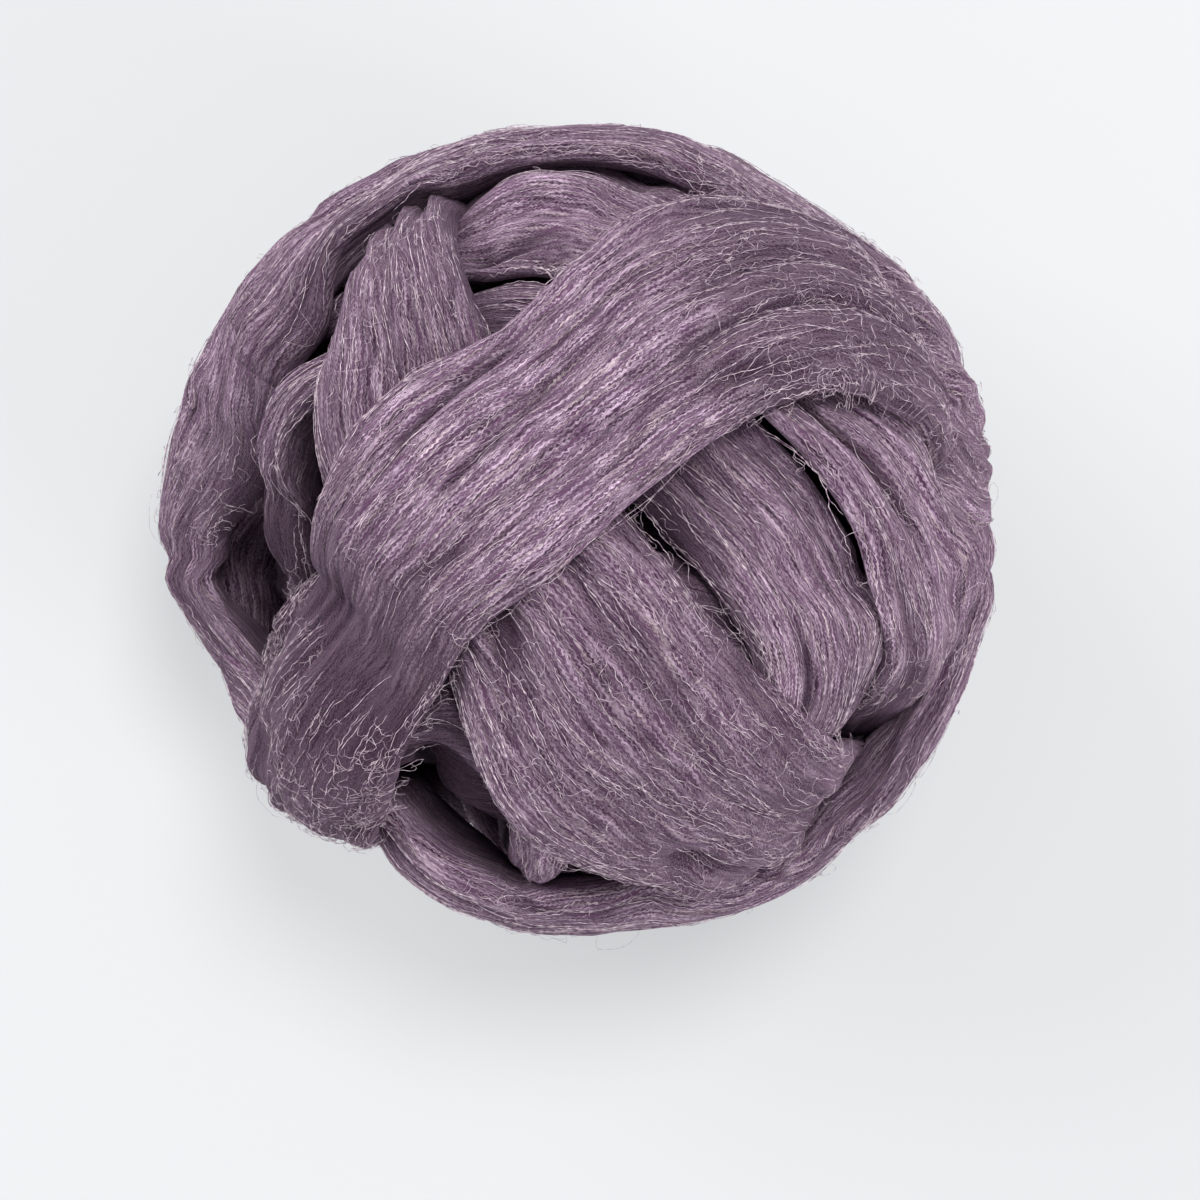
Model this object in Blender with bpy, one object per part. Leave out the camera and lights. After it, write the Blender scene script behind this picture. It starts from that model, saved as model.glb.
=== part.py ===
"""A ball of combed wool roving: one soft strand, wound by hand, that rests on a small flat spot.

The strand is followed turn by turn, from the first windings to the last. At each place it lies on
the turns that are already there, pulled straight by its own tension, so later turns cross earlier
ones and leave creases and pits between them. Metres, +Z up, origin under the ball's middle.
"""

import math
from collections import namedtuple

import bmesh
import bpy
import numpy as np
from mathutils import Matrix

# Driving sizes, in metres.
CORE_RADIUS = 0.051  # the first windings, packed into one rounded lump
EDGE_HEIGHT = 0.3  # of the thickness, where the rounded edge of the strand is widest
NECK = 0.6  # how wide the strand's underside is, against its top
PRESSED_IN = 0.003  # how far the strand's underside sinks into the first windings
ROPE_HEIGHT = 0.0011  # how far the ropes inside the strand stand out
FOOT_DEPTH = 0.0655  # from the middle of the winding down to the flat spot
BALL_RADIUS = 0.0812  # to the top of the outer turns, on average
SAG = 0.90  # the ball sags to this share of its height under its own weight
ROUNDING_ORDER = 6
HOLLOW_DEPTH = 0.008  # a hollow this deep hardly counts for the ball's round shape
BUMP_LEFT = 0.55  # what is left of a bump that stood out of the round shape, once pressed
TENSION_LENGTH = 0.015  # how far the pull of the strand evens out the bumps under it

# The ball's outline seen from above, from the eye's place over it: bearing in degrees, and how far
# out it shows, in millimetres at the level of the ball's middle.
EYE = (0.0049, -0.0142, 0.552)
Rim = namedtuple("Rim", "bearing out")
OUTLINE = (
    Rim(0, 80.3), Rim(10, 82.0), Rim(30, 82.0), Rim(44, 79.3), Rim(55, 77.0), Rim(75, 78.7), Rim(100, 78.0),
    Rim(130, 79.3), Rim(160, 79.5), Rim(186, 80.5), Rim(196, 77.0), Rim(203, 74.0), Rim(210, 75.0),
    Rim(219, 79.3), Rim(230, 78.1), Rim(240, 72.9), Rim(250, 76.6), Rim(262, 79.1), Rim(282, 79.0),
    Rim(300, 82.0), Rim(340, 82.0), Rim(360, 80.3),
)
RIM_STEP = 3  # degrees between the bearings where the outline is let out or taken in

# How finely the strand is divided.
STATION_STEP = 0.0042  # the stack is worked out at these stations
STATIONS_A_PIECE = 25  # about a quarter turn
ACROSS = 21  # points over the strand's top, from edge to edge
COARSER = 2  # the solid has one station and one point across out of this many
SHARP_ANGLE = math.radians(60)  # an edge that folds more than this is a real crease

# Where the strand passes: bearing round the ball and height above its middle, in degrees, and the
# strand's half width and slack there, in millimetres. Bearing 0 is +X, 90 is +Y. Slack is how far
# it lies off the turns below, or, where less than 0, is pulled into them. ropes is how many soft
# ropes the strand splits into, and thickness is through its middle, in millimetres.
Pass = namedtuple("Pass", "bearing height half_width slack", defaults=(0,))
Turn = namedtuple("Turn", "name ropes thickness passes")
WINDING = (
    Turn("first_under", 3, 11, (
        Pass(262, -60, 17), Pass(268, -30, 18), Pass(272, 4, 18), Pass(276, 36, 18), Pass(280, 66, 18),
        Pass(108, 72, 18), Pass(96, 42, 18), Pass(98, 6, 18), Pass(100, -30, 18), Pass(107, -62, 18),
        Pass(160, -72, 18),
    )),
    Turn("low_girdle", 3, 11, (
        Pass(214, -56, 20), Pass(238, -36, 20), Pass(268, -28, 20), Pass(305, -20, 20, 2),
        Pass(332, -8, 20, 4), Pass(20, -20, 20), Pass(56, -14, 20), Pass(90, -18, 20), Pass(125, -14, 20),
        Pass(158, -20, 20), Pass(190, -34, 20), Pass(214, -58, 18), Pass(240, -70, 18),
    )),
    Turn("second_under", 3, 11, (
        Pass(236, -84, 18), Pass(228, -62, 18), Pass(226, -30, 18), Pass(222, 4, 18), Pass(217, 38, 18),
        Pass(196, 68, 18), Pass(84, 74, 18), Pass(62, 42, 18), Pass(58, 6, 18), Pass(61, -30, 18),
        Pass(70, -60, 18), Pass(134, -76, 18),
    )),
    Turn("third_under", 2, 11, (
        Pass(197, -62, 18), Pass(211, -30, 18), Pass(212, 4, 17), Pass(217, 34, 14), Pass(234, 50, 10),
        Pass(260, 52, 11), Pass(300, 50, 17), Pass(334, 36, 18), Pass(353, 6, 18), Pass(0, -30, 18),
        Pass(10, -60, 18), Pass(75, -76, 18),
    )),
    Turn("fourth_under", 2, 11, (
        Pass(138, -62, 18), Pass(146, -30, 18), Pass(148, 4, 18), Pass(152, 38, 18), Pass(176, 62, 18),
        Pass(235, 74, 18), Pass(310, 62, 18), Pass(328, 36, 18), Pass(332, 4, 18), Pass(333, -30, 18),
        Pass(327, -62, 18), Pass(240, -82, 18),
    )),
    Turn("small_loop", 3, 11, (
        Pass(198, -62, 18), Pass(200, -30, 18), Pass(200, 0, 16), Pass(192, 22, 11), Pass(177, 35, 7),
        Pass(158, 42, 7), Pass(138, 49, 8), Pass(112, 57, 14), Pass(72, 65, 17), Pass(28, 67, 16),
        Pass(352, 59, 14), Pass(335, 49, 13), Pass(318, 40, 13), Pass(299, 18, 15), Pass(288, -12, 17),
        Pass(277, -44, 18), Pass(246, -67, 18),
    )),
    Turn("wide_loop", 3, 11, (
        Pass(190, -66, 18), Pass(160, -46, 18), Pass(146, -18, 17, -3), Pass(136, 8, 16, -4),
        Pass(126, 27, 17), Pass(108, 30, 21), Pass(85, 32, 22), Pass(52, 41, 21, -1),
        Pass(20, 41, 22, 2), Pass(357, 33, 22, 3), Pass(343, 18, 20, 1), Pass(333, -6, 18),
        Pass(324, -40, 18), Pass(305, -70, 18),
    )),
    Turn("front_lobe", 3, 12, (
        Pass(150, -74, 18), Pass(134, -44, 18), Pass(122, -12, 15, -3), Pass(117, 14, 11, -4),
        Pass(120, 37, 8), Pass(131, 54, 13), Pass(152, 67, 20), Pass(186, 74, 24), Pass(236, 77, 24),
        Pass(283, 59, 24), Pass(296, 42, 22), Pass(303, 25, 20), Pass(309, 4, 18), Pass(308, -30, 18),
        Pass(284, -56, 18),
    )),
    Turn("girdle_start", 3, 9, (
        Pass(248, -50, 18), Pass(224, -26, 15), Pass(207, -12, 12, 3), Pass(191, -8, 10, 8),
        Pass(177, -4, 10, 8), Pass(165, 6, 14, 2), Pass(155, 12, 17, -1),
    )),
    Turn("girdle", 3, 11, (
        Pass(145, 17, 18), Pass(128, 19, 18), Pass(107, 16, 17), Pass(78, 13, 17), Pass(50, 6, 17),
        Pass(22, -3, 18), Pass(358, -5, 18), Pass(342, 1, 18), Pass(328, 5, 17), Pass(316, 1, 17),
        Pass(300, -2, 17), Pass(284, 2, 17), Pass(264, 6, 17), Pass(243, 9, 17), Pass(222, -4, 17),
        Pass(196, -26, 18),
    )),
    Turn("crossing", 4, 12, (
        Pass(152, -46, 18), Pass(95, -54, 18), Pass(42, -42, 18), Pass(15, -12, 19, -1), Pass(26, 17, 21, -3),
        Pass(45, 37, 23, -1), Pass(60, 56, 21), Pass(90, 75, 19), Pass(155, 77, 20), Pass(194, 65, 18),
        Pass(209, 52, 18, 1), Pass(214, 37, 21, 1), Pass(220, 17, 21, -1), Pass(227, -6, 18, -3),
        Pass(237, -36, 17, -2), Pass(260, -62, 12), Pass(320, -76, 5),
    )),
)

WOOL_COLOUR = (0.235, 0.150, 0.225, 1.0)
WOOL_ROUGHNESS = 0.9


def direction(bearing, height):
    """The unit vector at a bearing and height in degrees."""
    b, h = math.radians(bearing), math.radians(height)
    return np.array((math.cos(b) * math.cos(h), math.sin(b) * math.cos(h), math.sin(h)))


def unit(v):
    return v / np.linalg.norm(v, axis=-1, keepdims=True)


def smooth_curve(points, samples):
    """Points on the curve that runs smoothly through the given rows, with samples to each gap."""
    ends = np.vstack((2 * points[0] - points[1], points, 2 * points[-1] - points[-2]))
    t = np.linspace(0, 1, samples, endpoint=False)[:, None]
    runs = []
    for a, b, c, d in zip(ends, ends[1:], ends[2:], ends[3:]):
        runs.append(0.5 * (2 * b + (c - a) * t + (2 * a - 5 * b + 4 * c - d) * t**2
                           + (3 * b - 3 * c + d - a) * t**3))
    return np.vstack((*runs, points[-1:]))


def blurred(values, reach):
    """values evened out along their first axis by a bell curve of that many rows."""
    span = int(3 * reach) + 1
    bell = np.exp(-0.5 * (np.arange(-span, span + 1) / reach) ** 2)
    padded = np.pad(values, [(span, span)] + [(0, 0)] * (values.ndim - 1), mode="edge")
    return sum(w * padded[i : i + len(values)] for i, w in enumerate(bell)) / bell.sum()


class Strand:
    """The strand's stations: where each lies, which way is across it, and how wide it is."""

    def __init__(self, step):
        rows, sizes = [], []
        for turn in WINDING:
            for p in turn.passes:
                rows.append(direction(p.bearing, p.height))
                sizes.append((p.half_width / 1000, p.slack / 1000, turn.thickness / 1000, turn.ropes))
        line = smooth_curve(np.column_stack((rows, sizes)), 40)
        line[:, :3] = unit(line[:, :3])
        gone = np.linalg.norm(np.diff(line[:, :3], axis=0), axis=1) * 1.4 * CORE_RADIUS
        gone = np.concatenate(([0], np.cumsum(gone)))
        count = int(gone[-1] / step)
        self.along = np.linspace(0, gone[-1], count)
        line = np.column_stack([np.interp(self.along, gone, column) for column in line.T])
        self.centre = unit(blurred(line[:, :3], 1.0))
        self.half_width, self.slack, self.thickness, self.ropes = line[:, 3:].T
        ahead = unit(np.gradient(self.centre, axis=0))
        self.side = unit(np.cross(self.centre, ahead))
        self.count = count


def edge_profile(u):
    """The strand's height across it, from its rounded edges (u = -1 and 1) to 1 in the middle."""
    return EDGE_HEIGHT + (1 - EDGE_HEIGHT) * np.clip(1 - np.abs(u) ** 2.4, 0, 1) ** 0.55


def across_points():
    """Where the points over the strand's top lie, closer together towards its edges."""
    return np.sin(np.linspace(-math.pi / 2, math.pi / 2, ACROSS))


def rope_relief(strand, u):
    """The soft ropes that the strand splits into, which wander across it along its length."""
    s = strand.along[:, None]
    wander = 1.3 * np.sin(s / 0.061) + 0.8 * np.sin(s / 0.023 + 1.0)
    return ROPE_HEIGHT * np.cos(math.pi * strand.ropes[:, None] * u + wander) * (1 - u**4)


def top_directions(strand, u, reach):
    """The direction of each point of the strand's top, station by station."""
    turn = (strand.half_width[:, None] * u / reach)[..., None]
    return strand.centre[:, None] * np.cos(turn) + strand.side[:, None] * np.sin(turn)


def height_over(pieces, strand, top, u, points, order, reach):
    """The radius of the turns under each point, from the pieces of strand laid well before it."""
    under = np.full(len(points), CORE_RADIUS)
    for n, piece in enumerate(pieces):
        later = np.flatnonzero(order >= n + 2)
        if not len(later):
            break
        dots = points[later] @ strand.centre[piece].T
        near = dots.argmax(axis=1)
        close = dots[np.arange(len(later)), near] > math.cos(0.55)
        later, near = later[close], near[close] + piece.start
        offset = np.arcsin(np.einsum("ij,ij->i", points[later], strand.side[near])) * reach
        share = offset / strand.half_width[near]
        inside = np.abs(share) < 1
        later, near, share = later[inside], near[inside], share[inside]
        column = np.interp(share, u, np.arange(len(u)))
        low = np.minimum(column.astype(int), len(u) - 2)
        part = column - low
        found = top[near, low] * (1 - part) + top[near, low + 1] * part
        under[later] = np.maximum(under[later], found)
    return under


def lay_strand(strand):
    """The direction and radius of each point of the strand's top, and the radius under it. Each turn
    lies on the ones before it; this is repeated until the stack holds still."""
    u = across_points()
    reach = 1.4 * CORE_RADIUS
    points = top_directions(strand, u, reach)
    starts = range(0, strand.count, STATIONS_A_PIECE)
    pieces = [slice(a, min(a + STATIONS_A_PIECE + 1, strand.count)) for a in starts]
    order = np.repeat(np.arange(strand.count) // STATIONS_A_PIECE, len(u))
    thickness = strand.thickness[:, None] * edge_profile(u) + rope_relief(strand, u)
    support = np.full((strand.count, len(u)), CORE_RADIUS)
    for _ in range(8):
        support += strand.slack[:, None]
        top = support + thickness
        under = height_over(pieces, strand, top, u, points.reshape(-1, 3), order, reach)
        under = under.reshape(support.shape)
        bridged = np.maximum(under, blurred(under, 1.6 * TENSION_LENGTH / STATION_STEP))
        pulled = blurred(bridged, 0.7 * TENSION_LENGTH / STATION_STEP)
        support = 0.25 * under + 0.75 * pulled
        support = 0.4 * support + 0.6 * blurred(support.T, 0.16 * ACROSS).T
    support += strand.slack[:, None]
    top = support + thickness
    spread = even_directions(1500)
    last = np.full(len(spread), strand.count)
    outer = height_over(pieces, strand, top, u, spread, last, reach)
    return points, top, support, Settling(spread, outer, points, top)


def even_directions(count):
    """Directions spread evenly all round, on a spiral from the top to the bottom."""
    n = np.arange(count)
    z = 1 - (2 * n + 1) / count
    turn = n * math.pi * (3 - math.sqrt(5))
    level = np.sqrt(1 - z * z)
    return np.column_stack((level * np.cos(turn), level * np.sin(turn), z))


def smooth_terms(directions):
    """Terms for a smooth shape round the ball: every product of up to ROUNDING_ORDER coordinates."""
    x, y, z = directions.reshape(-1, 3).T
    order = range(ROUNDING_ORDER + 1)
    powers = [(i, j, k) for i in order for j in order for k in order if i + j + k <= ROUNDING_ORDER]
    return np.column_stack([x**i * y**j * z**k for i, j, k in powers])


class Settling:
    """How the stack of turns becomes the ball: it is pressed round between the hands, sags a little
    under its own weight, and is let out or taken in to its outline as seen from above."""

    def __init__(self, spread, outer, points, top):
        terms = smooth_terms(spread)
        weight = np.ones(len(spread))
        for _ in range(4):
            self.shape = np.linalg.lstsq(terms * weight[:, None], outer * weight, rcond=None)[0]
            hollow = np.maximum(terms @ self.shape - outer, 0)
            weight = np.exp(-((hollow / HOLLOW_DEPTH) ** 2))
        self.bearings = np.arange(0, 360, RIM_STEP)
        self.letting_out = np.ones(len(self.bearings))
        wanted = np.interp(self.bearings, *np.transpose(OUTLINE)) / 1000
        for _ in range(4):
            seen = self.outline(self.place(points, top))
            self.letting_out *= wrapped_blur(wanted / seen, 1.5)

    def place(self, directions, radius):
        """Where the points of the stack at those directions and radii end up."""
        proud = radius / (smooth_terms(directions) @ self.shape).reshape(radius.shape) - 1
        proud = np.where(proud > 0, BUMP_LEFT * proud, proud)
        at = directions * (BALL_RADIUS * (1 + proud))[..., None] * (1, 1, SAG)
        bearing = np.degrees(np.arctan2(at[..., 1], at[..., 0]))
        change = np.interp(bearing, self.bearings, self.letting_out, period=360) - 1
        out = np.clip(np.hypot(at[..., 0], at[..., 1]) / BALL_RADIUS, 0, 1)
        at[..., :2] *= (1 + change * out**2)[..., None]
        return at

    def outline(self, at):
        """How far out the points reach at each bearing, as the eye sees them."""
        x, y, z = at.reshape(-1, 3).T
        nearer = EYE[2] / (EYE[2] - z)
        x = EYE[0] + (x - EYE[0]) * nearer
        y = EYE[1] + (y - EYE[1]) * nearer
        slot = np.round(np.degrees(np.arctan2(y, x)) / RIM_STEP).astype(int) % len(self.bearings)
        seen = np.zeros(len(self.bearings))
        np.maximum.at(seen, slot, np.hypot(x, y))
        return seen


def wrapped_blur(values, reach):
    """values round a circle, evened out."""
    return blurred(np.tile(values, 3), reach)[len(values) : 2 * len(values)]


def strand_mesh(points, top, settling):
    """The wound strand as one closed body. It reaches down to the first windings, since what lies
    under it is packed wool too."""
    middle = points[:, [len(points[0]) // 2]]
    neck = unit(middle + NECK * (points[:, [-1, 0]] - middle))
    sunk = np.full((len(points), 2), CORE_RADIUS - PRESSED_IN)
    rings = np.concatenate((settling.place(points, top), settling.place(neck, sunk)), axis=1)
    bm = bmesh.new()
    loops = [[bm.verts.new(p) for p in ring] for ring in rings]
    for a, b in zip(loops, loops[1:]):
        for i in range(len(a)):
            j = (i + 1) % len(a)
            bm.faces.new((a[i], b[i], b[j], a[j]))
    bm.faces.new(loops[0])
    bm.faces.new(reversed(loops[-1]))
    bmesh.ops.triangulate(bm, faces=bm.faces[:])
    bmesh.ops.recalc_face_normals(bm, faces=bm.faces[:])
    mesh = bpy.data.meshes.new("strand")
    bm.to_mesh(mesh)
    bm.free()
    return mesh


def core_mesh(settling):
    """The first windings, packed into one rounded lump."""
    bm = bmesh.new()
    bmesh.ops.create_icosphere(bm, subdivisions=4, radius=1)
    directions = np.array([v.co for v in bm.verts])
    for v, p in zip(bm.verts, settling.place(directions, np.full(len(directions), CORE_RADIUS))):
        v.co = p
    mesh = bpy.data.meshes.new("core")
    bm.to_mesh(mesh)
    bm.free()
    return mesh


def placed(name, mesh):
    """An object for the mesh, in the scene."""
    obj = bpy.data.objects.new(name, mesh)
    bpy.context.scene.collection.objects.link(obj)
    return obj


def joined(obj, other, operation):
    """Add the other mesh to the object, or cut it away. The strand runs through itself where it is
    pressed into the turns below, so all of it is made one skin."""
    tool = placed("tool", other)
    mod = obj.modifiers.new(operation.lower(), "BOOLEAN")
    mod.operation = operation
    mod.solver = "EXACT"
    mod.use_self = True
    mod.object = tool
    done = bpy.data.meshes.new_from_object(obj.evaluated_get(bpy.context.evaluated_depsgraph_get()))
    obj.modifiers.clear()
    obj.data = done
    bpy.data.objects.remove(tool)


def floor_block():
    """A block that takes away all below the flat spot."""
    bm = bmesh.new()
    bmesh.ops.create_cube(bm, size=4 * BALL_RADIUS)
    bmesh.ops.translate(bm, vec=(0, 0, -FOOT_DEPTH - 2 * BALL_RADIUS), verts=bm.verts)
    mesh = bpy.data.meshes.new("floor")
    bm.to_mesh(mesh)
    bm.free()
    return mesh


def keep_outer_skin(mesh):
    """Drop the skins of the closed pockets between turns, which are packed with loose fibre."""
    bm = bmesh.new()
    bm.from_mesh(mesh)
    left = set(bm.verts)
    skins = []
    while left:
        skin = {left.pop()}
        rim = list(skin)
        while rim:
            vert = rim.pop()
            reached = {e.other_vert(vert) for e in vert.link_edges} - skin
            skin |= reached
            rim += reached
        left -= skin
        skins.append(skin)
    skins.sort(key=len)
    bmesh.ops.delete(bm, geom=[v for skin in skins[:-1] for v in skin], context="VERTS")
    bmesh.ops.triangulate(bm, faces=bm.faces[:])
    bm.to_mesh(mesh)
    bm.free()


def main():
    for obj in list(bpy.data.objects):
        bpy.data.objects.remove(obj)
    strand = Strand(STATION_STEP)
    points, top, _, settling = lay_strand(strand)
    points = points[::COARSER, ::COARSER]
    top = top[::COARSER, ::COARSER]
    ball = placed("roving_ball", core_mesh(settling))
    joined(ball, strand_mesh(points, top, settling), "UNION")
    joined(ball, floor_block(), "DIFFERENCE")
    keep_outer_skin(ball.data)
    ball.data.transform(Matrix.Translation(onto_floor(settling.place(points, top))))
    ball.data.materials.append(wool())
    ball.data.shade_smooth()
    ball.data.set_sharp_from_angle(angle=SHARP_ANGLE)


def onto_floor(at):
    """The move that puts the flat spot on the floor and the middle of the outline over the origin."""
    corners = at.reshape(-1, 3)
    middle = (corners.min(axis=0) + corners.max(axis=0)) / 2
    return (-middle[0], -middle[1], FOOT_DEPTH)


def wool():
    """Combed wool dyed a greyish purple."""
    material = bpy.data.materials.new("wool")
    material.use_nodes = True
    material.diffuse_color = WOOL_COLOUR
    shader = material.node_tree.nodes["Principled BSDF"]
    shader.inputs["Base Color"].default_value = WOOL_COLOUR
    shader.inputs["Roughness"].default_value = WOOL_ROUGHNESS
    return material


main()
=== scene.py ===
"""A ball of combed wool roving on a pale floor, seen from straight above.

The winding is worked out as in the part's source, turn by turn. Each turn is then made here in fine
detail: the streaks and creases in the strand, its soft edges, and the loose fibres on it. Metres,
+Z up.
"""

import math
from collections import namedtuple

import bmesh
import bpy
import numpy as np
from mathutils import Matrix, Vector


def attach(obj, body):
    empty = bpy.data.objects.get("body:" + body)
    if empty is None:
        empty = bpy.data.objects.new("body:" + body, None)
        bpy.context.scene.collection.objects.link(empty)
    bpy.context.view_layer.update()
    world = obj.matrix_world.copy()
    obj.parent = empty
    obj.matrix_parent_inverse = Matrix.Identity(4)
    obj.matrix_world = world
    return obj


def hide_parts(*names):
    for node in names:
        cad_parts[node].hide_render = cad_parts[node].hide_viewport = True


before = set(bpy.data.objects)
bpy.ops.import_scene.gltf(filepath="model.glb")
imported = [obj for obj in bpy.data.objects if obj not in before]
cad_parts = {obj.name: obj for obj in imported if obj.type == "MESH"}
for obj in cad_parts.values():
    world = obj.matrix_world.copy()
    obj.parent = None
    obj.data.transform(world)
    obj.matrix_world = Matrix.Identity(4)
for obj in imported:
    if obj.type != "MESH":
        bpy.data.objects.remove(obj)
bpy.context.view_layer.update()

BODY = "root"
NODE = "roving_ball"

# Driving sizes, in metres.
CORE_RADIUS = 0.051  # the first windings, packed into one rounded lump
LAID_AT = 1.4  # the strand's length and width are laid out at this many times that radius
EDGE_HEIGHT = 0.3  # of the thickness, where the rounded edge of the strand is widest
FLAT_POWER = 2.4  # the higher, the flatter the strand's top
EDGE_POWER = 0.55  # the lower, the steeper its edges
# How wide the strand's underside is, against its top. It is wider than in the part's source, so
# that no floor shows through the ball from straight above.
NECK = 0.83
UNDER_SUNK = 0.001  # how far the underside sinks into what is under it
ROPE_HEIGHT = 0.0011  # how far the ropes inside the strand stand out
# How the ropes wander across the strand: how far, over what length, and from what angle.
Wander = namedtuple("Wander", "far long start")
ROPE_WANDER = (Wander(1.3, 0.061, 0.0), Wander(0.8, 0.023, 1.0))
FOOT_DEPTH = 0.0655  # from the middle of the winding down to the flat spot
BALL_RADIUS = 0.0812  # to the top of the outer turns, on average
SAG = 0.90  # the ball sags to this share of its height under its own weight
ROUNDING_ORDER = 6  # of the coordinates in the ball's round shape
HOLLOW_DEPTH = 0.008  # a hollow this deep hardly counts for the ball's round shape
BUMP_LEFT = 0.55  # what is left of a bump that stood out of the round shape, once pressed
TENSION_LENGTH = 0.015  # how far the pull of the strand evens out the bumps under it
BRIDGE_REACH = 1.6  # tension lengths over which the strand bridges a gap
PRESS_REACH = 0.7  # tension lengths over which it presses down a bump
PULLED_SHARE = 0.75  # how far it follows its own pull, not what is under it
LEVEL_SHARE = 0.6  # how far it stays level across its width
LEVEL_REACH = 0.16  # over what share of the points across it
STACK_ROUNDS = 8  # how often the stack is worked out again, until it holds still
SHAPE_ROUNDS = 4  # the same, for the round shape and the letting out
SHAPE_DIRECTIONS = 1500  # from which the round shape is taken
NEAR_BY = 0.55  # radians; a turn farther off isn't under a point

# The ball's outline seen from above, from the eye's place over it: bearing in degrees, and how far
# out it shows, in millimetres at the level of the ball's middle.
EYE = (0.0049, -0.0142, 0.552)
OUTLINE = (
    (0, 80.3), (10, 82.0), (30, 82.0), (44, 79.3), (55, 77.0), (75, 78.7),
    (100, 78.0), (130, 79.3), (160, 79.5), (186, 80.5), (196, 77.0), (203, 74.0),
    (210, 75.0), (219, 79.3), (230, 78.1), (240, 72.9), (250, 76.6), (262, 79.1),
    (282, 79.0), (300, 82.0), (340, 82.0), (360, 80.3),
)
RIM_STEP = 3  # degrees between the bearings where the outline is let out or taken in
RIM_BLUR = 1.5  # over how many of those steps the letting out is evened

# How finely the strand is divided.
STATION_STEP = 0.0042  # the stack is worked out at these stations
STATIONS_A_PIECE = 25  # about a quarter turn
ACROSS = 21  # points over the strand's top, from edge to edge
COARSER = 2  # the solid has one station and one point across out of this many

# How the fine surface is made, in metres.
ALONG_BY = 2  # fine stations to each station of the winding
ACROSS_BY = 5  # fine points across to each point of the winding, on the turns that show
HIDDEN_BY = 2  # the same, on the turns that show only in the gaps
HIDDEN = ("first_under", "second_under", "third_under", "fourth_under")
MEAN_HALF_WIDTH = 0.018  # of the strand that streaks and colour are laid out on
EDGE_POINTS = 4  # round the lower corner of the strand's edge
UNDER_POINTS = 7  # across the strand's underside
UNDER_FROM, UNDER_TO = 0.8, 0.2  # the share of the top that the underside follows
FLOOR_GAP = 0.0002  # nothing lies lower than this
CORE_RINGS, CORE_SPOKES = 72, 144  # of points on the first windings
CORE_SUNK = 0.001  # how far they lie under the turns on them
NOISE_SIZE = 211  # after this many bumps the noise repeats
# Streaks that stand out along the strand: how wide, how long and how high, in metres.
Streak = namedtuple("Streak", "wide long high seed")
STREAKS = (
    Streak(0.0075, 0.040, 0.0006, 1),
    Streak(0.0030, 0.050, 0.0006, 2),
    Streak(0.0015, 0.030, 0.0004, 3),
)
STREAK_FALL, STREAK_POWER = 1.6, 1.3  # how a streak falls off from its ridge
STREAKS_AT_EDGE = 0.5  # what is left of the streaks at the strand's edges
FADE_POWER = 6  # the higher, the closer to the edges the streaks fade
# Creases between the strand's locks: their spacing, length, depth and half width, in metres, and
# how much shade is painted into them.
Crease = namedtuple("Crease", "apart long deep narrow dark seed")
CREASES = (
    Crease(0.0080, 0.110, 0.0028, 0.0006, 1.00, 5),
    Crease(0.0055, 0.060, 0.0014, 0.0004, 0.80, 6),
)
CREASE_SPREAD = 0.6  # of a crease's spacing, for each unit of the noise on either side of it
# How streaks and creases drift sideways: by how many spacings, over what length in metres, and what
# is added to their seeds.
Drift = namedtuple("Drift", "far long seed")
STREAK_DRIFT = Drift(0.6, 0.05, 50)
CREASE_DRIFT = Drift(0.8, 0.07, 60)
# How creases come and go: their mean share of the full depth, how much it changes, over what length
# and width, and what is added to their seeds.
Fading = namedtuple("Fading", "mean change long wide seed")
CREASE_FADING = Fading(0.55, 0.9, 0.022, 0.008, 70)
# Loose fibres: how many to each square metre of strand, how long, how thick, how far they stand
# out, the waves along them, how far askew to the strand they lie and how much they curl in radians,
# which share lies along the edges, and how likely they are everywhere and where the wool is matted.
Fuzz = namedtuple("Fuzz", "name per_area length radius lift wave wave_length askew curl at_edge "
                          "everywhere in_shade steps seed")
FUZZ = (
    Fuzz("lying", 62000, 0.013, 0.000075, 0.0004, 0.00015, 0.0026, 0.10, 0.3, 0.20, 1.0, 0.0, 12, 11),
    Fuzz("curled", 110000, 0.007, 0.00005, 0.0009, 0.00010, 0.0025, 1.30, 2.8, 0.30, 0.10, 0.90, 10, 12),
    Fuzz("stray", 1500, 0.018, 0.00004, 0.0028, 0.0006, 0.0070, 0.70, 1.8, 0.40, 1.0, 0.0, 14, 13),
)
# Between what shares of their kind's length, wave and lift the single fibres lie.
LENGTH_SPREAD = (0.5, 1.5)
WAVE_SPREAD = (0.4, 1.4)
LIFT_SPREAD = (0.2, 1.6)
LIFT_POWER = 0.7  # the lower, the steeper a fibre rises from its ends
KINK_SHARE, KINK_TURNS = 0.4, 9  # smaller bends along a fibre
EDGE_BAND = 0.12  # of the strand's half width, where the fibres along its edges start
EDGE_RISE = 0.6  # how far a fibre rises, against how far it reaches past the edge
FARTHEST_OUT = 1.15  # half widths from the strand's middle, where no fibre reaches
TIP_START, TIP_END, TIP_POWER = 0.04, 0.96, 0.4  # how a fibre thins towards both ends
FIBRE_OVER_FLOOR = 0.0005  # how far above the lowest wool the lowest fibre lies
ASKEW_AXIS = (0.31, 0.17, 0.93)  # a fibre's first side is square to this
LOW_DOWN = 0.035  # fewer fibres are made below this height, where the ball is hardly seen
LOW_SHARE = 0.35  # what is left of them there
BURIED = 0.004  # a turn this far below the outermost one carries no fibres
CAMERA_LENS = 85  # in millimetres
VIEW_REACH = 20  # metres, beyond which nothing is drawn
SKY_COLOUR = (0.93, 0.96, 1.0, 1.0)
SKY_STRENGTH = 0.55
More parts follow.
